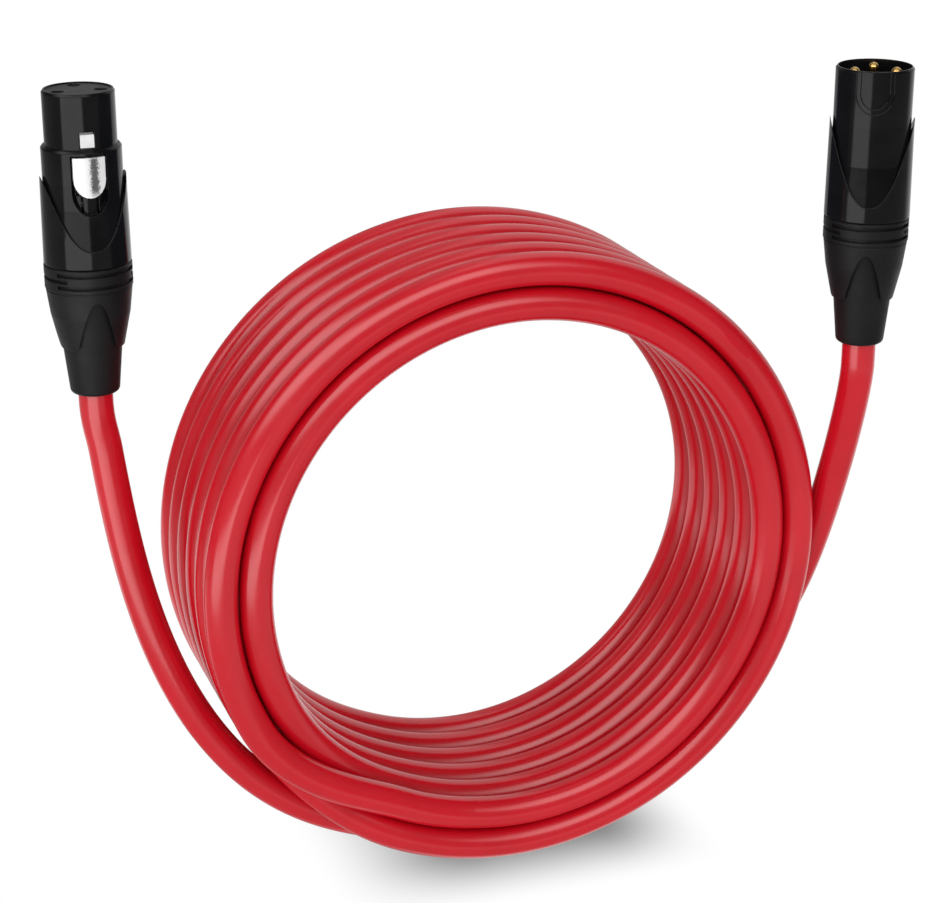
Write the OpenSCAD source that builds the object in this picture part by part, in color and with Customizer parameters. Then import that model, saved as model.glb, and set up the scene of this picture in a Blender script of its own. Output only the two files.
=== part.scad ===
// Coiled three-pole audio cable with a socket plug and a pin plug.
// Origin: on the floor, under the coil's centre, at mid depth.
// X to the right, Y to the back, Z up; the coil's axis runs along Y.

/* [Cable] */
// Outside diameter of the cable jacket
cable_d = 7.7; // [7.2:0.1:7.7]
// Wall of the jacket
jacket_wall = 1.05; // [0.9:0.05:1.1]
// Wall of the braided screen
screen_wall = 0.42; // [0.36:0.02:0.46]
// Diameter of each insulated conductor
conductor_d = 1.8; // [1.4:0.1:1.8]

/* [Coil] */
// Radius of the outer layer, at the cable's centre
outer_r = 71.32; // [71.3:0.02:71.6]
// Radius of the inner layer, at the cable's centre
inner_r = 63.28; // [63:0.02:63.3]
// Distance between neighbouring turns of the outer layer
outer_pitch = 8.7; // [8.6:0.05:8.8]
// Distance between neighbouring turns of the inner layer
inner_pitch = 8.85; // [8.7:0.05:8.9]
// Distance between neighbouring turns where both tails lie beside the outer layer
tight_pitch = 7.8; // [7.78:0.01:7.85]
// Angle at which the turns begin to change places
cross_from = 194; // [192:1:196]
// Angle at which every turn is in its new place
cross_to = 258; // [256:1:260]
// How far the rear layer change bulges backward
rear_bulge = 2.2; // [2.1:0.05:2.3]
// How far the front layer change bulges forward
front_bulge = 2.2; // [2.15:0.05:2.3]

/* [Socket plug] */
// Place of the cable exit of the socket plug
female_at = [-91.8, 4.0, 119.2]; // [-200:0.1:200]
// Turn of the socket plug about its own axis
female_turn = 0; // [-10:1:10]
// Diameter of the nose that enters the mating shell
nose_d = 15.6; // [15.4:0.1:15.8]
// Overall length of the socket plug
female_len = 69.1; // [69:0.1:70.5]

/* [Pin plug] */
// Place of the cable exit of the pin plug
male_at = [79.3, -32.5, 123.5]; // [-200:0.1:200]
// Turn of the pin plug about its own axis
male_turn = -27; // [-35:1:-20]
// Turn of the pin plug's contacts and key against the recess outside its collar
key_turn = 2; // [0:1:15]
// Outside diameter of the pin plug's collar
collar_d = 17.4; // [17.3:0.05:17.5]
// Inside diameter of the pin plug's collar
collar_bore = 16.3; // [16.1:0.1:16.3]
// Overall length of the pin plug
male_len = 65.3; // [65:0.1:66]

/* [Contacts] */
// Diameter of the contact pins
pin_d = 2.4; // [2.3:0.05:2.45]
// Half the distance between contacts 1 and 2
contact_x = 4.6; // [4.4:0.1:4.8]
// Offset of contacts 1 and 2 towards the key
contact_key = 1.4; // [1.2:0.1:1.6]
// Offset of contact 3 away from the key
contact_3 = 4.8; // [4.7:0.1:4.9]

/* [Backnut] */
// Diameter of the grooved ring
ring_d = 19.2; // [19:0.1:19.4]
// Pitch of the backnut's thread
thread_pitch = 1.0; // [0.8:0.1:1.2]
// Radial play between the threads and in the collet
play = 0.08; // [0.05:0.01:0.1]

/* [Hidden] */

shell_black = [0.05, 0.05, 0.055];
nut_black = [0.10, 0.10, 0.105];

cable_r = cable_d / 2;
axis_z = outer_r + cable_r;               // height of the coil's axis
front_y = -2.5 * outer_pitch;             // plane of the front turns
turns = 12;
jacket_bore_r = cable_r - jacket_wall;
screen_r = jacket_bore_r - 0.04;
screen_bore_r = screen_r - screen_wall;
conductor_offset = 0.95;                  // from the cable's axis

// heights inside each plug, above its cable exit
jacket_end = 29;
joint_z = 31.3;                           // joint between backnut and shell
cup_z = 43;                               // mouth of the solder cups

// ---------- points and curves ----------
function unit(v) = v / norm(v);
function smooth(x) = let (c = min(1, max(0, x))) c * c * (3 - 2 * c);
function up(point, h) = point + [0, 0, h];
function turned(p, angle) =
  [p[0] * cos(angle) - p[1] * sin(angle), p[0] * sin(angle) + p[1] * cos(angle), p[2]];
function slice(path, first, last) = [for (i = [first:last]) path[i]];
function reversed(path) = [for (i = [len(path) - 1:-1:0]) path[i]];

// Bezier curve of any degree, cut into equal steps of its parameter
function choose(n, k) = k == 0 ? 1 : choose(n, k - 1) * (n - k + 1) / k;
function bezier_at(handles, t) = let (degree = len(handles) - 1)
  [for (i = [0:degree]) choose(degree, i) * pow(1 - t, degree - i) * pow(t, i)] * handles;
function bezier(handles, steps) = [for (i = [0:steps]) bezier_at(handles, i / steps)];

// ---------- path of the cable ----------
// Turn 0 lies in the outer layer at the second place and turn 1 at the front
// one, turns 2-7 fill the inner layer from front to back, and turns 8-11 come
// forward again in the outer layer from the back place to the third one.
function inside(turn) = turn >= 2 && turn < 8;
function place(turn) = turn < 2 ? 1 - turn : turn < 8 ? turn - 2 : 13 - turn;
function tight_place(turn) = turn < 2 ? 1 - turn : 14 - turn;
function rest_y(turn) = front_y + (inside(turn) ? inner_pitch : outer_pitch) * place(turn);
function tight_y(turn) =
  inside(turn) ? rest_y(turn) : front_y + tight_pitch * tight_place(turn);
function layer_r(turn) = inside(turn) ? inner_r : outer_r;

cross_arc = cross_to - cross_from;
plain_arc = 360 - cross_arc;              // part of each turn outside the crossing

// Parts of the crossing, 0 to 1, in which a turn moves sideways and changes layer
function side_window(turn) = turn == 0 ? [0.17, 0.81] : turn == 1 ? [0, 1]
  : turn < 7 ? [0, 0.87] : turn == 7 ? [0, 0.9] : [0.03, 0.93];
function layer_window(turn) =
  turn == 1 ? [0.18, 0.75] : turn == 7 ? [0.1, 0.9] : side_window(turn);
function progress(part, window) = smooth((part - window[0]) / (window[1] - window[0]));
function hump(part, centre, half) =
  pow(cos(90 * min(1, max(-1, (part - centre) / half))), 2);

// Point of a turn at an angle past cross_to
relax_from = 95;                          // where the spacing begins to change from tight
relax_arc = 70;
function coil_at(turn, angle) =
  let (relax = smooth((angle - relax_from) / relax_arc),
       part = (angle - plain_arc) / cross_arc,
       side = progress(part, side_window(turn)),
       layer = progress(part, layer_window(turn)),
       start_y = tight_y(turn) * (1 - relax) + rest_y(turn) * relax,
       y = start_y * (1 - side) + tight_y(turn + 1) * side
           + (turn == 7 ? rear_bulge * hump(part, 0.47, 0.47) : 0)
           - (turn == 1 ? front_bulge * hump(part, 0.52, 0.55) : 0),
       radius = layer_r(turn) * (1 - layer) + layer_r(turn + 1) * layer)
  [radius * cos(cross_to + angle), y, axis_z + radius * sin(cross_to + angle)];
function coil_way(angle) = [-sin(cross_to + angle), 0, cos(cross_to + angle)];

// stations of one turn: coarse on the plain arc, fine where turns change places
arc_steps = 14;
cross_steps = 8;
stations = concat([for (i = [0:arc_steps - 1]) plain_arc * i / arc_steps],
  [for (i = [0:cross_steps - 1]) plain_arc + cross_arc * i / cross_steps]);
left_join = -2.3;                         // angle past cross_to where the left tail ends
right_join = 46.5;                        // angle past cross_to where the right tail begins
coil_path = [for (turn = [0:turns - 1]) for (angle = stations)
  if (turn > 0 || angle > left_join + 1) coil_at(turn, angle)];
last_path = [for (angle = [0, plain_arc / arc_steps, 34]) coil_at(turns, angle)];

// left tail: from the socket plug down and into the second place of the outer layer
tail_steps = 14;
left_end = coil_at(0, left_join);
left_handles = [female_at, female_at + 41.3 * [0.11, -0.07, -1],
  [-86.8, -9.95, 46.5], [-64.7, -11.7, 16.2],
  left_end - 29.8 * coil_way(left_join), left_end];
// right tail: out of the third place and up to the pin plug, its last part straight
right_start = coil_at(turns, right_join);
right_handles = [right_start, right_start + 40.1 * coil_way(right_join),
  [77.5, -7.8, 41.9], [82.9, -10.4, 66], up(male_at, -15.7), up(male_at, -4)];

jacket_path = concat([for (h = [jacket_end, 12]) up(female_at, h)],
  bezier(left_handles, tail_steps), coil_path, last_path,
  bezier(right_handles, tail_steps), [for (h = [12, jacket_end]) up(male_at, h)]);
screen_end = jacket_end + 1.5;
screen_path = concat([up(female_at, screen_end)],
  slice(jacket_path, 1, len(jacket_path) - 2), [up(male_at, screen_end)]);

// ---------- sweeps ----------
// Each section stands square to the path, with its first axis kept near Y.
function tangent(path, i) = unit(path[min(len(path) - 1, i + 1)] - path[max(0, i - 1)]);
function side_axis(way) = unit([0, 1, 0] - way[1] * way);
function section(path, i, radius, sides, start = 0) =
  let (way = tangent(path, i), side = side_axis(way), across = cross(side, way))
  [for (k = [0:sides - 1]) let (angle = start + 360 * k / sides)
    path[i] + radius * (cos(angle) * side + sin(angle) * across)];
function sections(path, radius, sides, start = 0) =
  [for (i = [0:len(path) - 1]) each section(path, i, radius, sides, start)];
function beside(path, offset) = [for (i = [0:len(path) - 1])
  let (way = tangent(path, i)) path[i] + offset * cross(side_axis(way), way)];

// faces between neighbouring sections from point number base on; bore = true turns them
function skin(sides, base, count, bore) = [for (i = [0:count - 2]) for (k = [0:sides - 1])
  let (a = base + i * sides + k, b = base + i * sides + (k + 1) % sides,
       c = a + sides, d = b + sides)
  each bore ? [[a, c, b], [b, c, d]] : [[a, b, c], [b, d, c]]];

module rod(path, radius, sides, start = 0) {
  count = len(path);
  last = (count - 1) * sides;
  polyhedron(sections(path, radius, sides, start), concat(skin(sides, 0, count, false),
    [for (k = [1:sides - 2]) [0, k + 1, k]],
    [for (k = [1:sides - 2]) [last, last + k, last + k + 1]]));
}

// tube whose outside has twice as many sides as its bore, or the same number
module hose(path, radius, sides, bore_r, bore_sides) {
  count = len(path);
  ratio = sides / bore_sides;
  bore = count * sides;                   // number of the first point of the bore
  // end faces over side k of the bore
  function cap(outer, inner, k) =
    let (in_a = inner + k, in_b = inner + (k + 1) % bore_sides,
         out_a = outer + ratio * k, out_b = outer + (ratio * k + ratio) % sides,
         middle = out_a + 1)
    ratio == 2 ? [[in_a, out_a, middle], [in_a, middle, in_b], [in_b, middle, out_b]]
      : [[in_a, out_a, in_b], [in_b, out_a, out_b]];
  polyhedron(
    concat(sections(path, radius, sides), sections(path, bore_r, bore_sides)),
    concat(skin(sides, 0, count, false), skin(bore_sides, bore, count, true),
      [for (k = [0:bore_sides - 1]) for (face = cap(0, bore, k)) [face[0], face[2], face[1]]],
      [for (k = [0:bore_sides - 1])
        each cap((count - 1) * sides, bore + (count - 1) * bore_sides, k)]));
}

module cable_jacket() { color("crimson") hose(jacket_path, cable_r, 10, jacket_bore_r, 5); }
module cable_shield() { color("peru") hose(screen_path, screen_r, 5, screen_bore_r, 5); }

// ---------- contact places ----------
// hand = 1 on the socket plug and -1 on the pin plug, so that equal numbers mate
function plain_contact(i, hand) = i == 1 ? [-contact_x * hand, -contact_key, 0]
  : i == 2 ? [contact_x * hand, -contact_key, 0] : [0, contact_3, 0];
function contact(i, hand) = turned(plain_contact(i, hand), hand < 0 ? key_turn : 0);
// the same in the frame of the coil, at height h above the cable exit
function female_contact(i, h) = female_at + turned(contact(i, 1), female_turn) + [0, 0, h];
function male_contact(i, h) = male_at + turned(contact(i, -1), male_turn) + [0, 0, h];

// A conductor leaves the screen inside each plug and runs to its solder cup;
// the lead starts at the cup and stops one step before the screen's end.
lead_steps = 5;
function lead(screen, cup) =
  slice(bezier([cup, up(cup, -4), up(screen, 6), screen], lead_steps), 0, lead_steps - 1);
function conductor_path(offset, i) =
  let (middle = beside(screen_path, offset), wire_z = cup_z - 0.6)
  concat(lead(middle[0], female_contact(i, wire_z)), middle,
    reversed(lead(middle[len(middle) - 1], male_contact(i, wire_z))));
module conductor(offset, i) { rod(conductor_path(offset, i), conductor_d / 2, 4, 45); }
module conductor_white() { color("whitesmoke") conductor(-conductor_offset, 2); }
module conductor_blue() { color("royalblue") conductor(conductor_offset, 3); }

// ---------- shared plug parts, cable exit at z = 0, key side towards -Y ----------
module place_female() { translate(female_at) rotate([0, 0, female_turn]) children(); }
module place_male() { translate(male_at) rotate([0, 0, male_turn]) children(); }

ring_r = ring_d / 2;
seat_z = 23.6;                            // inner shoulder of the backnut
nut_end = 12.4;                           // lower end of the skirt
nut_top = joint_z - 0.1;
nut_cone = 0.173;                         // growth of the skirt's radius per mm
nut_bore_r = 8.1;
seat_r = 5.35;
boot_end = 1.45;                          // the boot stops short of the cable exit
thread_r = 7.2;                           // root radius of the neck's thread
ridge = 0.3;                              // height of the thread ridges
inner_thread_r = thread_r + ridge + play;
groove_h = 0.84;
groove_depth = 0.75;
function skirt_r(z) = ring_r - 0.12 - nut_cone * (25.9 - z);
function boot_r(z) = 5.27 + 0.1 * z;

// separate ridges that stand for a thread
module neck_thread() {
  for (z = [25.2:thread_pitch:30.6]) translate([0, 0, z])
    rotate_extrude($fn = 48) polygon([
      [thread_r - 0.4, -0.32], [thread_r, -0.32], [thread_r + ridge, -0.1],
      [thread_r + ridge, 0.1], [thread_r, 0.32], [thread_r - 0.4, 0.32]]);
}
module nut_thread() {
  for (z = [seat_z + 2:thread_pitch:30.4]) translate([0, 0, z])
    rotate_extrude($fn = 48) polygon([
      [nut_bore_r + 0.3, -0.3], [nut_bore_r, -0.3], [inner_thread_r, -0.08],
      [inner_thread_r, 0.08], [nut_bore_r, 0.3], [nut_bore_r + 0.3, 0.3]]);
}

// three arches in the skirt, with rounded lobes between them
module arch_cut(top_z, low_z, half) {
  for (angle = [0:120:240]) rotate([0, 0, angle]) translate([0, -3, 0]) rotate([90, 0, 0])
    linear_extrude(9) polygon(concat(
      [[-half - 1.5, 8], [half + 1.5, 8], [half + 1.5, low_z], [half + 0.75, low_z + 0.15]],
      [for (i = [12:-1:-12]) let (x = i / 12)
        [x * half, top_z - (top_z - low_z - 0.6) * pow(abs(x), 2.1)]],
      [[-half - 0.75, low_z + 0.15], [-half - 1.5, low_z]]));
}
// groove in the ring, reaching half degrees to each side of -Y
module groove(z, half) {
  rotate([0, 0, -90 - half]) rotate_extrude(angle = 2 * half, $fn = 72)
    translate([ring_r - groove_depth, z - groove_h / 2]) square([1.2, groove_h]);
}

module backnut() {
  color(nut_black) difference() {
    // [radius, z], up the outside and down the bore
    rotate_extrude($fn = 72) polygon([
      [boot_r(nut_end) + 0.06, nut_end], [skirt_r(nut_end) - 0.08, nut_end],
      [skirt_r(20) + 0.26, 20], [skirt_r(25.6), 25.6],
      [ring_r - 0.28, 25.65], [ring_r - 0.28, 25.95], [ring_r, 26.1],
      [ring_r, nut_top - 0.25], [ring_r - 0.25, nut_top],
      [nut_bore_r, nut_top], [nut_bore_r, seat_z + 0.7],
      [seat_r, seat_z + 0.7], [seat_r, seat_z], [boot_r(seat_z) + 0.06, seat_z]]);
    arch_cut(top_z = 23.8, low_z = 12.3, half = 4.1);
    // long grooves front and back, above and below the short side grooves
    for (angle = [11, 191]) rotate([0, 0, angle]) {
      groove(30.0, 66);
      groove(27.3, 66);
    }
    for (angle = [101, 281]) rotate([0, 0, angle]) groove(28.65, 40);
  }
  color(nut_black) nut_thread();
}

module boot() {
  boot_top = seat_z - 0.1;
  bore_r = cable_r + 0.12;
  color([0.07, 0.07, 0.07]) rotate_extrude($fn = 72) polygon(concat(
    [[bore_r, boot_end + 1.1], [cable_r + 0.5, boot_end + 0.25], [4.45, boot_end]],
    // rounded lower edge
    [for (i = [0:4]) [boot_r(boot_end + 1) - 0.9 + 0.9 * sin(i * 22.5),
      boot_end + 1.0 - 1.0 * cos(i * 22.5)]],
    [[boot_r(boot_top), boot_top], [seat_r, boot_top], [seat_r, 14], [bore_r, 12.6]]));
}

// collet with four slots and a ribbed bore
module chuck() {
  bore_r = cable_r + 0.1;
  color("ivory") difference() {
    rotate_extrude($fn = 64) polygon([[bore_r, 14.3], [5.2, 14.3], [5.2, seat_z + 0.8],
      [6.3, seat_z + 0.9], [6.3, 27.4], [5.6, 30.6], [bore_r, 30.6]]);
    for (angle = [45, 135]) rotate([0, 0, angle]) translate([-8, -0.5, 18]) cube([16, 1, 14]);
    for (z = [16.5:1.6:29]) translate([0, 0, z]) cylinder(r = cable_r + 0.35, h = 0.7, $fn = 48);
  }
}

// Sleeve of a shell: its upper edge dips on the key side and opposite it and
// rises to two horns at the sides; a larger bow gives a rounder dip.
module dip_cut(low_z, horn_z, half, bow) {
  rotate([90, 0, 0]) translate([0, 0, -12]) linear_extrude(24)
    polygon(concat([[-half - 2, 70], [-half - 2, horn_z]],
      [for (i = [-12:12]) let (x = i / 12)
        [x * half, low_z + (horn_z - low_z) * pow(abs(x), bow)]],
      [[half + 2, horn_z], [half + 2, 70]]));
}
module shell_outside(low_r, sleeve_r, horn_z, low_z, body_r, top_z, bow) {
  // threaded neck
  translate([0, 0, 24.6]) cylinder(r = thread_r, h = 8, $fn = 72);
  neck_thread();
  // core, whose wall is set back behind the sleeve
  rotate_extrude($fn = 96) polygon([[0, joint_z], [low_r - 0.25, joint_z],
    [low_r - 0.25, low_z], [body_r + 0.12, low_z + 9], [body_r, horn_z - 1],
    [body_r, top_z - 0.5], [body_r - 0.4, top_z], [0, top_z]]);
  // sleeve
  difference() {
    rotate_extrude($fn = 96) polygon([[thread_r - 1, joint_z], [low_r - 0.2, joint_z],
      [low_r, joint_z + 0.25], [sleeve_r, horn_z], [thread_r - 1, horn_z]]);
    dip_cut(low_z, horn_z, sleeve_r - 0.05, bow);
  }
}

// block from y0 to y1 with an elliptical lower end, seen along Y
module u_block(width, low_z, high_z, round_h, y0, y1) {
  rotate([90, 0, 0]) translate([0, 0, -y1]) linear_extrude(y1 - y0)
    polygon(concat([[width / 2, high_z], [-width / 2, high_z]],
      [for (i = [0:12]) let (angle = 180 + 15 * i)
        [width / 2 * cos(angle), low_z + round_h + round_h * sin(angle)]]));
}

shell_bore_r = 6.6;
insert_r = shell_bore_r - 0.05;
insert_z = 44.2;                          // lower end of both inserts
barrel_r = 1.5;                           // thick part of a contact
barrel_z = 46;
barrel_hole_r = barrel_r + 0.03;
cup_r = 1.3;
cup_bore_r = 1.0;

module cup() { translate([0, 0, cup_z]) cylinder(r = cup_r, h = 3.5, $fn = 32); }
module cup_bore() { translate([0, 0, cup_z - 1]) cylinder(r = cup_bore_r, h = 4, $fn = 32); }

module solder(hand) {
  for (i = [1:3]) translate(contact(i, hand)) translate([0, 0, cup_z - 0.4])
    cylinder(r = cup_bore_r - 0.04, h = 2.9, $fn = 32);
}

// strip beside a cup, near the insert's edge
module ground_strip() {
  strip_r = 6.52;
  difference() {
    intersection() {
      translate([-strip_r, -2.3, 41]) cube([2, 1.8, 3.1]);
      cylinder(r = strip_r, h = 60, $fn = 72);
    }
    translate([-contact_x, -contact_key, 30]) cylinder(r = cup_r + 0.03, h = 30, $fn = 32);
    translate([-5.85, -3, 40]) cube([2, 4, 2.4]);
  }
}

// drain: the screen's wires twisted into one tail, from beside the cable's end to a cup
function drain_path(offset, cup, exit) = bezier([up(exit, jacket_end + 2.2) + offset,
  up(exit, jacket_end + 6) + offset, up(cup, -5), cup], 8);
drain_z = cup_z - 0.5;
female_drain = drain_path(turned([-1.2, -1.7, 0], female_turn),
  female_contact(1, drain_z), female_at);
male_drain = drain_path(turned([1.2, -1.7, 0], male_turn + key_turn),
  male_contact(1, drain_z), male_at);
module drain_wire(path) { color("peru") rod(path, 0.45, 6); }
module drain_sleeve(path) { color("black") hose(slice(path, 2, 7), 0.8, 6, 0.52, 6); }

// ---------- socket plug ----------
nose_r = nose_d / 2;
body_top = 57.2;
nose_floor = 57.4;
pivot_y = -5.5;
pivot_z = 45.6;
spring_z = 53;

// round bar on the latch's pivot, along X
module pivot_bar(radius, length) {
  translate([-length / 2, pivot_y, pivot_z]) rotate([0, 90, 0])
    cylinder(r = radius, h = length, $fn = 32);
}

module female_housing() {
  color(shell_black) place_female() difference() {
    union() {
      shell_outside(low_r = 9.52, sleeve_r = 9.27, horn_z = 50.6, low_z = 35.3,
        body_r = 8.67, top_z = body_top, bow = 2.3);
      rotate_extrude($fn = 96) polygon([[5, body_top - 2], [nose_r, body_top - 2],
        [nose_r, female_len - 0.5], [nose_r - 0.35, female_len], [5, female_len]]);
    }
    translate([0, 0, 20]) cylinder(r = shell_bore_r, h = 37.5, $fn = 72);
    translate([0, 0, nose_floor]) cylinder(r = nose_r - 0.75, h = 20, $fn = 72);
    // tab recess, its floor round
    difference() {
      u_block(width = 7.7, low_z = 43.1, high_z = 56.15, round_h = 5.2, y0 = -12, y1 = -5);
      translate([0, 0, 40]) cylinder(r = 7.25, h = 20, $fn = 64);
    }
    // slot for the latch's web
    translate([-2.8, -9, 47.4]) cube([5.6, 4, 8.2]);
    // room for the latch's spine behind the wall
    translate([-1.9, -7.05, 43.6]) cube([3.8, 2.6, 18.6]);
    // window for the hook
    translate([-1.65, -10, 57.5]) cube([3.3, 5, 3.6]);
  }
}

module female_insert() {
  nose_z = nose_floor + 0.02;
  color([0.13, 0.13, 0.14]) place_female() difference() {
    union() {
      translate([0, 0, insert_z]) cylinder(r = insert_r, h = 14, $fn = 72);
      translate([0, 0, nose_z])
        cylinder(r = nose_r - 0.79, h = female_len - 0.25 - nose_z, $fn = 72);
    }
    for (i = [1:3]) translate(contact(i, 1)) {
      translate([0, 0, 40]) cylinder(r = barrel_hole_r, h = 28, $fn = 32);
      translate([0, 0, 67.5]) cylinder(r = 1.45, h = 4, $fn = 32);
    }
    // latch pocket, keyway in the face, spring seat and pin hole
    translate([-1.85, -9, 43]) cube([3.7, 5.2, 19.6]);
    translate([-1.5, -8.2, 62.6]) cube([3.0, 2.1, 10]);
    translate([0, -0.62, spring_z]) rotate([90, 0, 0]) cylinder(r = 1.35, h = 5, $fn = 32);
    pivot_bar(0.62, 10);
  }
}

module socket(i) {
  color("gold") place_female() translate(contact(i, 1)) difference() {
    union() {
      translate([0, 0, barrel_z]) cylinder(r = barrel_r, h = i == 1 ? 22 : 21, $fn = 32);
      cup();
    }
    translate([0, 0, 54]) cylinder(r = pin_d / 2 + 0.02, h = 16, $fn = 32);
    cup_bore();
    // spring slots of the socket
    translate([-2, -0.15, 60]) cube([4, 0.3, 10]);
  }
}
module female_socket_1() { socket(1); }
module female_socket_2() { socket(2); }
module female_socket_3() { socket(3); }

module female_latch() {
  latch_w = 3.2;
  color("silver") place_female() difference() {
    union() {
      // push tab, curved like the shell
      intersection() {
        u_block(width = 6.9, low_z = 47.1, high_z = 55.8, round_h = 3.9, y0 = -9.4, y1 = -7.3);
        difference() {
          translate([0, 0, 44]) cylinder(r = 8.95, h = 14, $fn = 72);
          translate([0, 0, 43]) cylinder(r = 8.15, h = 16, $fn = 72);
        }
      }
      // web from the tab to the spine
      translate([-latch_w / 2, -8.4, 50.6]) cube([latch_w, 2.6, 2.6]);
      // spine and hook
      translate([-latch_w / 2, -6.5, pivot_z]) cube([latch_w, 0.9, 60.9 - pivot_z]);
      translate([-1.5, -7.85, 57.8]) cube([3.0, 1.5, 2.8]);
      // eye
      pivot_bar(1.15, latch_w);
    }
    pivot_bar(0.66, 10);
    // sloped lead-in of the hook
    translate([-3, -8.6, 60.0]) rotate([42, 0, 0]) cube([6, 3, 2]);
  }
}
module female_latch_pin() { color("gray") place_female() pivot_bar(0.6, 4.7); }
module female_latch_spring() {
  steps = 48;
  coils = 4;
  coil_r = 0.95;
  color("lightgray") translate(female_at) rod([for (i = [0:steps])
    let (angle = 360 * coils * i / steps)
    turned([coil_r * cos(angle), -5.35 + 4.5 * i / steps, spring_z + coil_r * sin(angle)],
      female_turn)], 0.16, 5);
}
module female_ground_contact() { color("goldenrod") place_female() ground_strip(); }
module female_drain_wire() { drain_wire(female_drain); }
module female_drain_sleeve() { drain_sleeve(female_drain); }
module female_solder() { color("lightsteelblue") place_female() solder(1); }
module female_chuck() { place_female() chuck(); }
module female_backnut() { place_female() backnut(); }
module female_boot() { place_female() boot(); }

// ---------- pin plug ----------
collar_r = collar_d / 2;
collar_floor = 49.5;

module male_shell() {
  color(shell_black) place_male() difference() {
    shell_outside(low_r = 9.66, sleeve_r = 9.4, horn_z = 53.7, low_z = 34.9,
      body_r = collar_r, top_z = male_len, bow = 2.2);
    translate([0, 0, 20]) cylinder(r = shell_bore_r, h = 30, $fn = 72);
    // collar, with a low key rib left on its wall
    difference() {
      translate([0, 0, collar_floor]) cylinder(r = collar_bore / 2, h = 20, $fn = 96);
      rotate([0, 0, key_turn]) translate([-1.2, -9, 52.5]) cube([2.4, 1.17, 11.6]);
    }
    // keyed recess outside the collar, deeper in its middle
    difference() {
      u_block(width = 8.2, low_z = 55.75, high_z = 66, round_h = 4.3, y0 = -12, y1 = -5);
      cylinder(r = collar_r - 0.13, h = 80, $fn = 96);
    }
    difference() {
      u_block(width = 6.4, low_z = 56.9, high_z = 66, round_h = 3.5, y0 = -12, y1 = -5);
      cylinder(r = collar_r - 0.3, h = 80, $fn = 96);
    }
  }
}

module male_insert() {
  color([0.12, 0.12, 0.13]) place_male() difference() {
    union() {
      translate([0, 0, insert_z]) cylinder(r = insert_r, h = 6, $fn = 72);
      translate([0, 0, collar_floor + 0.05])
        cylinder(r = collar_bore / 2 - 0.04, h = 2.9, $fn = 72);
    }
    for (i = [1:3]) translate(contact(i, -1)) translate([0, 0, 40])
      cylinder(r = barrel_hole_r, h = 20, $fn = 32);
  }
}

module pin(i) {
  pin_r = pin_d / 2;
  tip_z = i == 1 ? 65.25 : 65.15;
  color("gold") place_male() translate(contact(i, -1)) difference() {
    union() {
      translate([0, 0, barrel_z]) cylinder(r = barrel_r, h = 6.55, $fn = 32);
      cup();
      // pin with a round tip
      rotate_extrude($fn = 40) polygon(concat([[0, 51], [pin_r, 51]],
        [for (k = [0:6]) [pin_r * cos(k * 15), tip_z - pin_r * (1 - sin(k * 15))]]));
    }
    cup_bore();
  }
}
module male_pin_1() { pin(1); }
module male_pin_2() { pin(2); }
module male_pin_3() { pin(3); }
module male_ground_contact() {
  color("goldenrod") place_male() rotate([0, 0, key_turn]) mirror([1, 0, 0]) ground_strip();
}
module male_drain_wire() { drain_wire(male_drain); }
module male_drain_sleeve() { drain_sleeve(male_drain); }
module male_solder() { color("lightsteelblue") place_male() solder(-1); }
module male_chuck() { place_male() chuck(); }
module male_backnut() { place_male() backnut(); }
module male_boot() { place_male() boot(); }

cable_jacket();
cable_shield();
conductor_white();
conductor_blue();
female_housing();
female_insert();
female_socket_1();
female_socket_2();
female_socket_3();
female_latch();
female_latch_pin();
female_latch_spring();
female_ground_contact();
female_drain_wire();
female_drain_sleeve();
female_solder();
female_chuck();
female_backnut();
female_boot();
male_shell();
male_insert();
male_pin_1();
male_pin_2();
male_pin_3();
male_ground_contact();
male_drain_wire();
male_drain_sleeve();
male_solder();
male_chuck();
male_backnut();
male_boot();
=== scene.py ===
"""A red cable wound in a two-layer coil, with a female and a male plug on its two tails.

The coil stands on the floor (z = 0) with its axis along Y; -Y is its front. The female plug
stands on the -X side and the male plug on the +X side, both pointing up. The cable runs from
the female plug through turns 0 to 12 to the male plug. Cable sizes are in millimetres, scene
sizes in metres.
"""
import math

import bpy
import numpy as np
from mathutils import Matrix, Vector


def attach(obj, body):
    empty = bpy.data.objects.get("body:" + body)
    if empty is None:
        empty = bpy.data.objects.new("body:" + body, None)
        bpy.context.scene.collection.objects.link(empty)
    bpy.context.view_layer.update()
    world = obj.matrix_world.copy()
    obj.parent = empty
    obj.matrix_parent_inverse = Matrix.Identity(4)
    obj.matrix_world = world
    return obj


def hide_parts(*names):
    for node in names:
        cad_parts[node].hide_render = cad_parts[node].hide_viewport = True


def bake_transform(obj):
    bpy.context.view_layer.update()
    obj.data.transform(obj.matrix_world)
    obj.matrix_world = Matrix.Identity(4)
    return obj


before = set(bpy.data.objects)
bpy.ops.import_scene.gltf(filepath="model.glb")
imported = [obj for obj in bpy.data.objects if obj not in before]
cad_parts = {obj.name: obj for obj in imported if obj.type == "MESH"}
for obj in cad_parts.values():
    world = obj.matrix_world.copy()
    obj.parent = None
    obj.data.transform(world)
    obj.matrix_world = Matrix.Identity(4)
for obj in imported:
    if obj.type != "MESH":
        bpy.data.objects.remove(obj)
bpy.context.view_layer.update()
MM = 0.001

# ------------------------------------------------------------------ sizes of the coil and tails
CABLE_R = 3.85
OUTER_R, INNER_R = 71.32, 63.28
OUTER_PITCH, INNER_PITCH, TIGHT_PITCH = 8.7, 8.85, 7.8
AXIS_Z = OUTER_R + CABLE_R
FRONT_Y = -2.5 * OUTER_PITCH
INNER_TURNS = range(2, 8)
LAST_TURN = 12

# Degrees in the XZ plane, from +X towards +Z, between which each turn crosses to the next.
CROSS_FROM, CROSS_TO = 194.0, 258.0
PLAIN_ARC = 360.0 - (CROSS_TO - CROSS_FROM)
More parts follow.
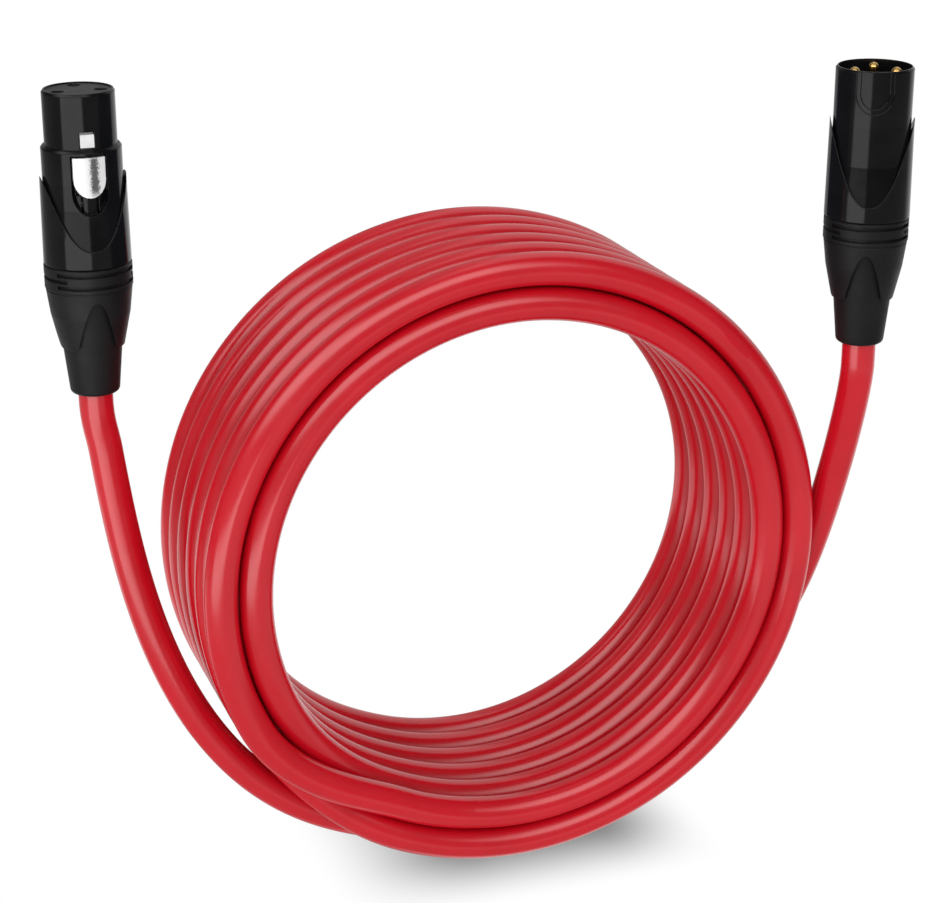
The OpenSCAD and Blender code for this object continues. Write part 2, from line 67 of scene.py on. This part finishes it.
# Degrees into a turn over which it eases from the tight to the resting pitch.
RELAX_FROM, RELAX_OVER = 95, 70

# Turn: the share of the crossing in which it moves along Y (side) or changes radius (layer).
SIDE_WINDOWS = {
    0: (0.17, 0.81), 1: (0.0, 1.0), **dict.fromkeys(range(2, 7), (0.0, 0.87)),
    7: (0.0, 0.9), **dict.fromkeys(range(8, LAST_TURN + 1), (0.03, 0.93)),
}
LAYER_WINDOWS = {**SIDE_WINDOWS, 1: (0.18, 0.75), 7: (0.1, 0.9)}
# Turn: shift along Y, then centre and half width as shares of the crossing.
BULGES = {7: (2.2, 0.47, 0.47), 1: (-2.2, 0.52, 0.55)}

FEMALE_AT = np.array([-91.8, 4.0, 119.2])
MALE_AT = np.array([79.3, -32.5, 123.5])
MALE_TURN, KEY_TURN = -27.0, 2.0

# Degrees into turn 0 and turn 12 where the tails join and where the cable is split in parts.
LEFT_JOIN, RIGHT_JOIN = -2.3, 46.5
LEFT_SPLIT, RIGHT_SPLIT = 44.0, 30.0
TAIL_STEPS = 110
LEFT_PLUG_PULL = 41.3 * np.array([0.11, -0.07, -1])
LEFT_COIL_PULL, RIGHT_COIL_PULL = 29.8, 40.1
MALE_PULL, MALE_STRAIGHT = 15.7, 4.0
BOOT_SLIDE = 12.0

# Heights of the cut ends above each plug's place.
JACKET_END = 29.0
SHIELD_END = JACKET_END + 1.5
LEAD_END = 43.0 - 0.6


# ------------------------------------------------------------------ path of the cable
def smooth(x):
    share = np.clip(x, 0.0, 1.0)
    return share * share * (3 - 2 * share)


def within(share, window):
    return smooth((share - window[0]) / (window[1] - window[0]))


def hump(share, centre, half_width):
    return np.cos(np.pi / 2 * np.clip((share - centre) / half_width, -1, 1)) ** 2


def rest_y(turn):
    """Turns 0 and 1 come forward, the inner ones go back, the other outer ones come forward."""
    if turn in INNER_TURNS:
        return FRONT_Y + INNER_PITCH * (turn - 2)
    return FRONT_Y + OUTER_PITCH * (1 - turn if turn < 2 else 13 - turn)


def tight_y(turn):
    if turn in INNER_TURNS:
        return rest_y(turn)
    return FRONT_Y + TIGHT_PITCH * (1 - turn if turn < 2 else 14 - turn)


def layer_r(turn):
    return INNER_R if turn in INNER_TURNS else OUTER_R


def coil_at(turn, angle):
    """Points of one turn at angles counted in degrees from its start."""
    angle = np.asarray(angle, float)
    relax = smooth((angle - RELAX_FROM) / RELAX_OVER)
    crossing = (angle - PLAIN_ARC) / (360 - PLAIN_ARC)
    side = within(crossing, SIDE_WINDOWS[turn])
    layer = within(crossing, LAYER_WINDOWS[turn])
    y = tight_y(turn) * (1 - relax) + rest_y(turn) * relax
    y = y * (1 - side) + tight_y(turn + 1) * side
    if turn in BULGES:
        shift, centre, half_width = BULGES[turn]
        y = y + shift * hump(crossing, centre, half_width)
    r = layer_r(turn) * (1 - layer) + layer_r(turn + 1) * layer
    around = np.radians(CROSS_TO + angle)
    return np.stack([r * np.cos(around), y, AXIS_Z + r * np.sin(around)], -1)


def heading(angle):
    around = math.radians(CROSS_TO + angle)
    return np.array([-math.sin(around), 0, math.cos(around)])


def arc(turn, start, end, step=2.0):
    count = max(1, int(math.ceil((end - start) / step)))
    return coil_at(turn, np.linspace(start, end, count + 1))


def bezier(controls, steps):
    controls = np.asarray(controls, float)
    degree = len(controls) - 1
    t = np.linspace(0, 1, steps + 1)[:, None]
    return sum(math.comb(degree, i) * (1 - t) ** (degree - i) * t ** i * controls[i]
               for i in range(degree + 1))


def raised(point, height):
    return np.asarray(point, float) + [0, 0, height]


def column(point, start, end, step=2.0):
    count = max(1, int(round(abs(end - start) / step)))
    return np.array([raised(point, height) for height in np.linspace(start, end, count + 1)])


def join(*runs):
    """Chain runs of points, dropping a first point that repeats the last one."""
    out = [runs[0]]
    for run in runs[1:]:
        if np.linalg.norm(run[0] - out[-1][-1]) < 1e-6:
            run = run[1:]
        out.append(run)
    return np.vstack(out)


def left_tail():
    end = coil_at(0, LEFT_JOIN)
    tail = bezier([FEMALE_AT, FEMALE_AT + LEFT_PLUG_PULL, [-86.8, -9.95, 46.5],
                   [-64.7, -11.7, 16.2], end - LEFT_COIL_PULL * heading(LEFT_JOIN), end],
                  TAIL_STEPS)
    # straight where the boot slides when its nut is unscrewed
    depth = smooth((FEMALE_AT[2] - tail[:, 2]) / BOOT_SLIDE)[:, None]
    tail[:, :2] = FEMALE_AT[:2] + (tail[:, :2] - FEMALE_AT[:2]) * depth
    return tail


def right_tail():
    start = coil_at(LAST_TURN, RIGHT_JOIN)
    return bezier([start, start + RIGHT_COIL_PULL * heading(RIGHT_JOIN), [77.5, -7.8, 41.9],
                   [82.9, -10.4, 66], raised(MALE_AT, -MALE_PULL),
                   raised(MALE_AT, -MALE_STRAIGHT)], TAIL_STEPS)


def whole_path(end):
    """Path between points `end` above both plugs, with the indices of its two splits."""
    left = join(column(FEMALE_AT, end, 0), left_tail(), arc(0, LEFT_JOIN, LEFT_SPLIT))
    coil = join(arc(0, LEFT_SPLIT, 360), *[arc(turn, 0, 360) for turn in range(1, LAST_TURN)],
                arc(LAST_TURN, 0, RIGHT_SPLIT))
    right = join(arc(LAST_TURN, RIGHT_SPLIT, RIGHT_JOIN), right_tail(),
                 column(MALE_AT, -MALE_STRAIGHT, end))
    first = len(left) - 1
    return join(left, coil, right), first, first + len(coil) - 1


# ------------------------------------------------------------------ swept meshes
def cross_axes(path):
    """Two unit axes square to the path at each point; the first leans towards +Y."""
    along = np.empty_like(path)
    along[1:-1] = path[2:] - path[:-2]
    along[0], along[-1] = path[1] - path[0], path[-1] - path[-2]
    along /= np.linalg.norm(along, axis=1)[:, None]
    first = np.array([0.0, 1, 0]) - along[:, 1:2] * along
    first /= np.linalg.norm(first, axis=1)[:, None]
    return first, np.cross(first, along)


def make(name, verts, faces):
    mesh = bpy.data.meshes.new(name)
    mesh.from_pydata([tuple(v) for v in verts * MM], [], faces)
    mesh.validate()
    mesh.update()
    mesh.shade_smooth()
    mesh.set_sharp_from_angle(angle=math.radians(35.0))
    piece = bpy.data.objects.new(name, mesh)
    bpy.context.scene.collection.objects.link(piece)
    return piece


def rings(path, axes, radius, sides):
    angle = (np.arange(sides) * 2 * np.pi / sides)[None, :, None]
    first, second = (axis[:, None, :] for axis in axes)
    spokes = radius * (np.cos(angle) * first + np.sin(angle) * second)
    return (path[:, None, :] + spokes).reshape(-1, 3)


def skin(count, sides, base=0, flip=False):
    """Quads between `count` rings whose vertices start at `base`."""
    i, k = np.meshgrid(np.arange(count - 1), np.arange(sides), indexing="ij")
    a = base + i * sides + k
    b = base + i * sides + (k + 1) % sides
    faces = np.stack([a, b, b + sides, a + sides], -1).reshape(-1, 4)
    return (faces[:, ::-1] if flip else faces).tolist()


def tube(name, path, axes, outer_r, inner_r, outer_sides, inner_sides):
    """Hollow sweep with ring-shaped ends."""
    last = len(path) - 1
    base = len(path) * outer_sides
    verts = [rings(path, axes, outer_r, outer_sides), rings(path, axes, inner_r, inner_sides)]
    faces = skin(len(path), outer_sides) + skin(len(path), inner_sides, base, True)
    ratio = outer_sides // inner_sides
    for ring in (0, last):
        outer, inner = ring * outer_sides, base + ring * inner_sides
        for k in range(inner_sides):
            edge = [outer + (ratio * k + j) % outer_sides for j in range(ratio + 1)]
            face = [inner + k] + edge + [inner + (k + 1) % inner_sides]
            faces.append(face if ring else face[::-1])
    return make(name, np.vstack(verts), faces)


def rod(name, path, axes, radius, sides):
    last = (len(path) - 1) * sides
    caps = [list(range(sides))[::-1], [last + k for k in range(sides)]]
    return make(name, rings(path, axes, radius, sides), skin(len(path), sides) + caps)


# ------------------------------------------------------------------ shader nodes
class Graph:
    """Short calls for building a node tree; `coords` places the noises."""

    def __init__(self, tree, coords=None):
        self.tree = tree
        self.coords = coords
        tree.nodes.clear()

    def node(self, kind, **settings):
        node = self.tree.nodes.new(kind)
        for key, value in settings.items():
            setattr(node, key, value)
        return node

    def feed(self, socket, value):
        """Link an output to the socket, or set the socket's own value."""
        if isinstance(value, bpy.types.NodeSocket):
            self.tree.links.new(value, socket)
        else:
            socket.default_value = (*value, 1.0) if socket.type == "RGBA" else value

    def filled(self, kind, inputs, **settings):
        """A new node with its inputs fed by name or number."""
        node = self.node(kind, **settings)
        for key, value in inputs.items():
            self.feed(node.inputs[key], value)
        return node

    def noise(self, scale, detail=3.0, rough=0.5, coords=None):
        return self.filled("ShaderNodeTexNoise", {
            "Scale": scale, "Detail": detail, "Roughness": rough,
            "Vector": coords or self.coords}).outputs["Fac"]

    def remap(self, value, low, high, start=0.3, end=0.7):
        """`start` to `end` becomes `low` to `high`."""
        return self.filled("ShaderNodeMapRange", {
            "From Min": start, "From Max": end, "To Min": low, "To Max": high,
            "Value": value}).outputs["Result"]

    def ramp(self, value, start, end):
        """Smooth rise from 0 at `start` to 1 at `end`."""
        return self.filled("ShaderNodeMapRange", {
            "From Min": start, "From Max": end, "Value": value},
            interpolation_type="SMOOTHSTEP").outputs["Result"]

    def band(self, value, start, end, soft):
        return self.times(self.ramp(value, start - soft, start + soft),
                          self.ramp(value, end + soft, end - soft))

    def mix(self, factor, a, b):
        # 6, 7 and output 2 are the colour sockets
        return self.filled("ShaderNodeMix", {0: factor, 6: a, 7: b},
                           data_type="RGBA", blend_type="MIX").outputs[2]

    def maths(self, operation, value, *others):
        """Apply the operation from left to right; one that takes a single value gets a 0."""
        for other in others or (0.0,):
            node = self.filled("ShaderNodeMath", {0: value, 1: other}, operation=operation)
            value = node.outputs[0]
        return value

    def add(self, *terms):
        return self.maths("ADD", *terms)

    def times(self, *terms):
        return self.maths("MULTIPLY", *terms)

    def dot(self, vector, axis):
        return self.filled("ShaderNodeVectorMath", {0: vector, 1: axis},
                           operation="DOT_PRODUCT").outputs["Value"]

    def light(self, kind, **inputs):
        return self.filled(kind, inputs).outputs[0]

    def choose(self, factor, no, yes):
        return self.filled("ShaderNodeMixShader", {0: factor, 1: no, 2: yes}).outputs[0]

    def finish(self, shader, kind="ShaderNodeOutputMaterial"):
        self.filled(kind, {"Surface": shader})


class Surface(Graph):
    """A Principled material; coordinates are the object's own, in metres."""

    def __init__(self, name):
        self.material = bpy.data.materials.new(name)
        self.material.use_nodes = True
        super().__init__(self.material.node_tree)
        self.bsdf = self.node("ShaderNodeBsdfPrincipled")
        self.finish(self.bsdf.outputs["BSDF"])
        self.coords = self.node("ShaderNodeTexCoord").outputs["Object"]

    def put(self, name, value):
        self.feed(self.bsdf.inputs[name], value)

    def stretched(self, scale):
        return self.filled("ShaderNodeMapping", {
            "Scale": scale, "Vector": self.coords}).outputs["Vector"]

    def rounded(self, edge_mm):
        """Normal of a slightly rounded edge."""
        return self.filled("ShaderNodeBevel", {"Radius": edge_mm * MM},
                           samples=6).outputs["Normal"]

    def bump(self, height, depth_mm, before=None):
        inputs = {"Distance": depth_mm * MM, "Height": height}
        if before is not None:
            inputs["Normal"] = before
        return self.filled("ShaderNodeBump", inputs).outputs["Normal"]


# ------------------------------------------------------------------ materials
def plastic(name, dark, light, rough, grain, grain_mm, patch=90, spec=0.5, wave=None, edge_mm=0.0):
    """Patchy, grained plastic; grain and patch are noise scales, wave is (scale, depth in mm)."""
    m = Surface(name)
    tone = m.noise(patch, detail=4, rough=0.55)
    fine = m.noise(grain, detail=2)
    base = m.mix(m.remap(tone, 0.0, 1.0), dark, light)
    m.put("Base Color", m.mix(m.remap(fine, 0.0, 0.12), base, light))
    m.put("Roughness", m.add(m.remap(m.noise(patch * 2.3, detail=4, rough=0.6), *rough),
                             m.remap(fine, -0.015, 0.015)))
    m.put("Specular IOR Level", spec)
    normal = m.bump(fine, grain_mm, before=m.rounded(edge_mm) if edge_mm else None)
    if wave:
        normal = m.bump(m.noise(wave[0], detail=1, rough=0.4), wave[1], before=normal)
    m.put("Normal", normal)
    return m.material


def metal(name, dark, light, rough, lines, stretch=(1, 1, 1), depth_mm=0.002):
    """Mottled metal with fine lines; `lines` is their noise scale."""
    m = Surface(name)
    tone = m.noise(120, detail=4, rough=0.6)
    m.put("Base Color", m.mix(m.remap(tone, 0, 1), dark, light))
    m.put("Metallic", 1.0)
    scratches = m.noise(lines, rough=0.6, coords=m.stretched(stretch))
    m.put("Roughness", m.add(m.remap(tone, *rough), m.remap(scratches, -0.03, 0.05)))
    m.put("Normal", m.bump(scratches, depth_mm))
    return m.material


def latch_plate(name):
    """Bright satin plate with a painted reflection down the tab: a mottled dark grey band."""
    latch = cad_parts["female_latch"]
    # centre of the painted reflection on the tab
    reflection_at = latch.matrix_world.inverted() @ Vector((-0.0908, 0.0, 0.1663))
    top = reflection_at.z + 0.0084
    m = Surface(name)
    tone = m.noise(150, detail=4, rough=0.6)
    face = m.mix(m.remap(tone, 0, 1), (0.86, 0.86, 0.87), (0.97, 0.97, 0.97))
    x, _, z = m.filled("ShaderNodeSeparateXYZ", {0: m.coords}).outputs
    off = m.maths("ABSOLUTE", m.maths("SUBTRACT", x, reflection_at.x))
    wide = m.remap(off, 0.31, -0.26, start=0.0003, end=0.0024)
    tall = m.maths("MINIMUM", m.remap(z, 0.0, 1.0, start=reflection_at.z, end=reflection_at.z + 0.0016),
                   m.remap(z, 1.0, 0.0, start=top, end=top + 0.0005))
    blot = m.add(m.noise(2600, detail=6, rough=0.8), wide)
    # painted reflection: mottled dark grey mixed into the plate's colour down the tab
    painted_reflection = m.times(m.remap(blot, 0.0, 1.0, start=0.60, end=0.72), tall)
    m.put("Base Color", m.mix(m.times(painted_reflection, 0.92), face, (0.055, 0.055, 0.058)))
    m.put("Metallic", 0.3)
    lines = m.noise(2400, rough=0.6, coords=m.stretched((1, 1, 0.12)))
    m.put("Roughness", m.add(m.remap(tone, 0.30, 0.42), m.remap(lines, -0.03, 0.05)))
    m.put("Normal", m.bump(lines, 0.002, before=m.rounded(0.2)))
    return m.material


def braid(name):
    """Woven copper screen: two opposed spirals of wire bundles."""
    m = Surface(name)
    uv = m.node("ShaderNodeUVMap", uv_map="along").outputs["UV"]
    along, around, _ = m.filled("ShaderNodeSeparateXYZ", {0: uv}).outputs
    spirals = [m.maths("SINE", m.times(m.maths(operation, along, around), 2 * math.pi))
               for operation in ("ADD", "SUBTRACT")]
    height = m.maths("MAXIMUM", *spirals)
    # painted shade: the copper's colour darkens towards the low parts between the bundles
    m.put("Base Color", m.mix(m.remap(height, 0, 1, start=-0.5, end=1),
                              (0.32, 0.12, 0.05), (0.72, 0.34, 0.17)))
    m.put("Metallic", 1.0)
    m.put("Roughness", m.remap(m.noise(300), 0.28, 0.42))
    m.put("Normal", m.bump(height, 0.12))
    return m.material


RED = plastic("red_jacket", dark=(0.51, 0.0016, 0.0095), light=(0.60, 0.0030, 0.0140),
              rough=(0.19, 0.24), grain=1500, grain_mm=0.0006, patch=45, spec=1.0,
              wave=(120, 0.004))
GLOSS = plastic("black_shell", dark=(0.0035, 0.0035, 0.004), light=(0.007, 0.007, 0.0078),
                rough=(0.10, 0.16), grain=1100, grain_mm=0.0008, patch=110, spec=0.3,
                wave=(420, 0.002), edge_mm=0.25)
MATTE = plastic("black_backnut", dark=(0.0050, 0.0050, 0.0054), light=(0.0085, 0.0085, 0.0092),
                rough=(0.42, 0.52), grain=2600, grain_mm=0.014, patch=140, spec=0.36,
                edge_mm=0.25)
RUBBER = plastic("black_boot", dark=(0.0045, 0.0045, 0.0049), light=(0.0080, 0.0080, 0.0086),
                 rough=(0.46, 0.58), grain=2200, grain_mm=0.020, patch=120, spec=0.34,
                 edge_mm=0.3)
INSERT = plastic("black_insert", dark=(0.016, 0.016, 0.017), light=(0.028, 0.028, 0.030),
                 rough=(0.34, 0.44), grain=2000, grain_mm=0.008, patch=160, edge_mm=0.15)
GOLD = metal("contact_gold", dark=(0.78, 0.46, 0.13), light=(0.95, 0.66, 0.26),
             rough=(0.14, 0.24), lines=2600, stretch=(1, 1, 0.2))
NICKEL = latch_plate("latch_steel")
SPRING = metal("spring_steel", dark=(0.42, 0.42, 0.44), light=(0.62, 0.62, 0.64),
               rough=(0.18, 0.30), lines=2000)
BRONZE = metal("contact_bronze", dark=(0.50, 0.30, 0.12), light=(0.72, 0.48, 0.22),
               rough=(0.22, 0.34), lines=1800, stretch=(1, 0.2, 1))
DRAIN = metal("screen_strands", dark=(0.42, 0.17, 0.08), light=(0.75, 0.36, 0.19),
              rough=(0.25, 0.40), lines=3200, stretch=(1, 1, 0.25), depth_mm=0.02)
SOLDER = metal("solder", dark=(0.55, 0.56, 0.58), light=(0.74, 0.75, 0.77),
               rough=(0.20, 0.38), lines=1200, depth_mm=0.01)
WHITE = plastic("white_insulation", dark=(0.62, 0.61, 0.57), light=(0.74, 0.73, 0.70),
                rough=(0.34, 0.44), grain=1800, grain_mm=0.006)
BLUE = plastic("blue_insulation", dark=(0.02, 0.06, 0.30), light=(0.03, 0.09, 0.42),
               rough=(0.34, 0.44), grain=1800, grain_mm=0.006)
SLEEVE = plastic("black_sleeve", dark=(0.010, 0.010, 0.010), light=(0.018, 0.018, 0.018),
                 rough=(0.36, 0.50), grain=1600, grain_mm=0.010)
NYLON = plastic("chuck_nylon", dark=(0.56, 0.54, 0.46), light=(0.68, 0.66, 0.58),
                rough=(0.38, 0.50), grain=1500, grain_mm=0.010)
COPPER = braid("screen_copper")

PLUG_PAINT = {
    "insert": INSERT, "ground_contact": BRONZE, "drain_wire": DRAIN, "drain_sleeve": SLEEVE,
    "solder": SOLDER, "chuck": NYLON, "backnut": MATTE, "boot": RUBBER,
}
PAINT = {
    **{plug + "_" + piece: material for plug in ("female", "male")
       for piece, material in PLUG_PAINT.items()},
    **{contact + str(i): GOLD for contact in ("female_socket_", "male_pin_") for i in (1, 2, 3)},
    "female_housing": GLOSS, "male_shell": GLOSS, "female_latch": NICKEL,
    "female_latch_pin": SPRING, "female_latch_spring": SPRING,
    "cable_jacket": RED, "cable_shield": COPPER,
    "conductor_white": WHITE, "conductor_blue": BLUE,
}


def paint(piece, material):
    piece.data.materials.clear()
    piece.data.materials.append(material)


for node_name, node_material in PAINT.items():
    paint(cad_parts[node_name], node_material)

# ------------------------------------------------------------------ the cable
# Part: the plug at its far end, and the middle of the stretch where it bends.
BENDS = {"left": ("female_plug", (-87.9, 0.9, 86.0)), "right": ("male_plug", (79.9, -23.0, 90.0))}
BRAID_PITCH = 6.0
BRAID_TURNS = 6
# Name, material, offset from the cable's middle, and x, y of its contact in the female plug.
CONDUCTORS = (("white", WHITE, -0.95, (4.6, -1.4)), ("blue", BLUE, 0.95, (0, 4.8)))


def cable_parts(path, first, second):
    """Name, stations, points and cross axes of the three parts; neighbours share a station."""
    axes = cross_axes(path)
    for part, span in (("left", slice(0, first + 1)), ("coil", slice(first, second + 1)),
                       ("right", slice(second, len(path)))):
        yield part, span, path[span], [axis[span] for axis in axes]


def dress(piece, part, material, replaced):
    paint(piece, material)
    if part == "coil":
        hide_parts(replaced)
        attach(piece, "coil")
    else:
        plug, (x, y, z) = BENDS[part]
        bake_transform(piece)


def add_braid_uv(piece, distance, ring_sides):
    """UV map: u along the cable, v round it; the braid's bundles cross on it."""
    mesh = piece.data
    layer = mesh.uv_layers.new(name="along")
    u = np.concatenate([np.repeat(distance / BRAID_PITCH, sides) for sides in ring_sides])
    v = np.concatenate([np.tile(np.arange(sides) / sides * BRAID_TURNS, len(distance))
                        for sides in ring_sides])
    corners = np.empty(len(mesh.loops), np.int32)
    mesh.loops.foreach_get("vertex_index", corners)
    coords = np.stack([u[corners], v[corners]], -1)
    # a face that closes the ring runs on past the last column instead of back to zero
    for face in mesh.polygons:
        around = coords[face.loop_start:face.loop_start + face.loop_total, 1]
        if np.ptp(around) > BRAID_TURNS / 2:
            around[around < BRAID_TURNS / 2] += BRAID_TURNS
    layer.data.foreach_set("uv", coords.astype(np.float32).ravel())


def build_jacket():
    for part, _, points, axes in cable_parts(*whole_path(JACKET_END)):
        piece = tube("jacket_" + part, points, axes, outer_r=CABLE_R, inner_r=2.8,
                     outer_sides=24, inner_sides=12)
        dress(piece, part, RED, "cable_jacket")


def build_shield(path, first, second):
    steps = np.linalg.norm(np.diff(path, axis=0), axis=1)
    distance = np.concatenate([[0], np.cumsum(steps)])
    for part, span, points, axes in cable_parts(path, first, second):
        piece = tube("shield_" + part, points, axes, outer_r=2.75, inner_r=2.34,
                     outer_sides=16, inner_sides=8)
        add_braid_uv(piece, distance[span], (16, 8))
        dress(piece, part, COPPER, "cable_shield")


def lead(contact, cable_end):
    """Curve down from a contact to the end of the straight run."""
    return bezier([contact, raised(contact, -4), raised(cable_end, 6), cable_end], 12)


def build_conductor(path, first, second, name, material, offset, contact):
    x, y = contact
    turn = math.radians(MALE_TURN + KEY_TURN)
    c, s = math.cos(turn), math.sin(turn)
    # the male plug's contacts are mirrored in x, then turned
    female = FEMALE_AT + [x, y, LEAD_END]
    male = MALE_AT + [-x * c - y * s, -x * s + y * c, LEAD_END]
    middle = path + offset * cross_axes(path)[1]
    head = lead(female, middle[0])[:-1]
    tail = lead(male, middle[-1])[::-1][1:]
    whole = np.vstack([head, middle, tail])
    for part, _, points, axes in cable_parts(whole, first + len(head), second + len(head)):
        piece = rod("conductor_%s_%s" % (name, part), points, axes, radius=0.9, sides=12)
        dress(piece, part, material, "conductor_" + name)


build_jacket()
core = whole_path(SHIELD_END)
build_shield(*core)
for conductor in CONDUCTORS:
    build_conductor(*core, *conductor)

# ------------------------------------------------------------------ floor, light, camera
# Level axes of the view: to the camera's right and away from it.
RIGHT = Vector((0.941117, -0.338081, 0.0))
AWAY = Vector((-RIGHT.y, RIGHT.x, 0.0))
UP = (0, 0, 1)
DEGREES = 57.2958


def staged(name, corners, material):
    mesh = bpy.data.meshes.new(name)
    mesh.from_pydata(corners, [], [(0, 1, 2, 3)])
    mesh.materials.append(material)
    piece = bpy.data.objects.new(name, mesh)
    bpy.context.scene.collection.objects.link(piece)
    return piece


def stage_material(name):
    material = bpy.data.materials.new(name)
    material.use_nodes = True
    return material, Graph(material.node_tree)


def build_floor():
    """Plain white paper, with a painted shadow where the lowest turns nearly touch it."""
    material, g = stage_material("floor_paper")
    g.coords = g.node("ShaderNodeNewGeometry").outputs["Position"]
    x = g.dot(g.coords, (1, 0, 0))
    y = g.dot(g.coords, (0, 1, 0))
    # painted shadow: a soft patch under the lowest turns, darkening what the camera sees
    painted_shadow = g.times(g.ramp(x, -0.050, -0.010), g.ramp(x, 0.050, 0.022),
                    g.ramp(y, -0.044, -0.015), g.ramp(y, 0.044, 0.015))
    grain = g.remap(g.noise(60), 0.97, 1.0)
    seen = g.maths("SUBTRACT", 1.0, g.times(painted_shadow, 0.78, grain))
    g.finish(g.choose(g.node("ShaderNodeLightPath").outputs["Is Camera Ray"],
                      no=g.light("ShaderNodeEmission", Strength=0.95),
                      yes=g.light("ShaderNodeEmission", Strength=seen)))
    floor = staged("floor", [(-60, -60, 0), (60, -60, 0), (60, 60, 0), (-60, 60, 0)], material)
    floor.visible_glossy = False


def build_world():
    """White to the camera, a soft dome for diffuse light, softboxes in the dark for gloss."""
    world = bpy.data.worlds.new("studio")
    bpy.context.scene.world = world
    world.use_nodes = True
    g = Graph(world.node_tree)
    direction = g.node("ShaderNodeTexCoord").outputs["Generated"]
    right, away, up = (g.dot(direction, axis) for axis in (RIGHT, AWAY, UP))
    # degrees: 0 is the camera's side, positive to its right; elevation above the horizon
    azimuth = g.times(g.maths("ARCTAN2", right, g.times(away, -1.0)), DEGREES)
    elevation = g.times(g.maths("ARCSINE", up), DEGREES)
    gloss = g.add(
        0.04,
        # large softbox on the camera's side
        g.times(g.band(elevation, 26, 60, soft=8), g.band(azimuth, -80, 50, soft=18), 2.5),
        # from below, and a band under the horizon
        g.times(g.ramp(elevation, -24, -38), 0.22),
        g.times(g.band(elevation, -30, -12, soft=6), 0.40),
        # far side, far right, overhead
        g.times(g.ramp(g.maths("ABSOLUTE", azimuth), 115, 150), 0.3),
        g.times(g.ramp(azimuth, 108, 125), 0.5),
        g.times(g.ramp(elevation, 70, 86), 0.4))
    # even dome, dimmer overhead, brighter low on the camera's side and left
    soft = g.add(1.28, g.times(g.ramp(up, 0.2, 0.9), -0.38),
                 g.times(g.band(azimuth, -95, 25, soft=50), g.ramp(up, 0.95, 0.3), 1.25))
    rays = g.node("ShaderNodeLightPath").outputs
    lit = g.choose(rays["Is Glossy Ray"], no=g.light("ShaderNodeBackground", Strength=soft),
                   yes=g.light("ShaderNodeBackground", Strength=gloss))
    white = g.light("ShaderNodeBackground", Strength=1.0)
    g.finish(g.choose(rays["Is Camera Ray"], no=lit, yes=white), "ShaderNodeOutputWorld")


def card(name, corners, level, tint=(1, 1, 1), falling_only=True):
    """Card that only reflections see, or only those running downwards.

    Corners are metres to the right, away and up.
    """
    material, g = stage_material(name)
    shader = g.light("ShaderNodeEmission", Color=tint, Strength=level)
    if falling_only:
        incoming = g.node("ShaderNodeNewGeometry").outputs["Incoming"]
        shader = g.choose(g.ramp(g.dot(incoming, UP), 0.06, 0.20),
                          no=g.light("ShaderNodeBsdfTransparent"), yes=shader)
    g.finish(shader)
    piece = staged(name, [RIGHT * x + AWAY * y + Vector((0, 0, z)) for x, y, z in corners],
                   material)
    for ray in ("camera", "diffuse", "shadow", "transmission", "volume_scatter"):
        setattr(piece, "visible_" + ray, False)


def upright(start, end, bottom, top):
    return [(*start, bottom), (*end, bottom), (*end, top), (*start, top)]


def build_camera():
    data = bpy.data.cameras.new("camera")
    camera = bpy.data.objects.new("camera", data)
    bpy.context.scene.collection.objects.link(camera)
    data.sensor_fit = "HORIZONTAL"
    data.sensor_width = 36.0
    data.lens = 87.314779
    data.clip_start, data.clip_end = 0.01, 50
    up = Vector((0.115852, 0.322498, 0.939454))
    forward = Vector((0.317611, 0.884136, -0.342676))
    turn = Matrix((RIGHT, up, -forward)).transposed()
    place = Matrix.Translation((-0.176785, -0.482384, 0.283527))
    camera.matrix_world = place @ turn.to_4x4()
    bpy.context.scene.camera = camera


build_floor()
build_world()
card("card_floor", [(-0.30, 0.0, 0.0005), (-0.10, 0.0, 0.0005), (-0.10, 0.35, 0.0005),
                    (-0.30, 0.35, 0.0005)], level=0.9, falling_only=False)
card("card_light", upright((-0.240, -0.165), (0.007, -0.295), 0.00, 0.22), level=2.0)
for card_name, card_start, card_end, card_top in (
        ("card_dark_left", (-0.0615, -0.0400), (-0.0615, -0.0145), 0.190),
        ("card_dark_right", (0.0600, -0.0142), (0.0600, 0.0170), 0.195)):
    card(card_name, upright(card_start, card_end, 0.121, card_top), level=0.04,
         tint=(0.6, 0.8, 1.3))
build_camera()
bpy.context.scene.view_settings.view_transform = "Standard"
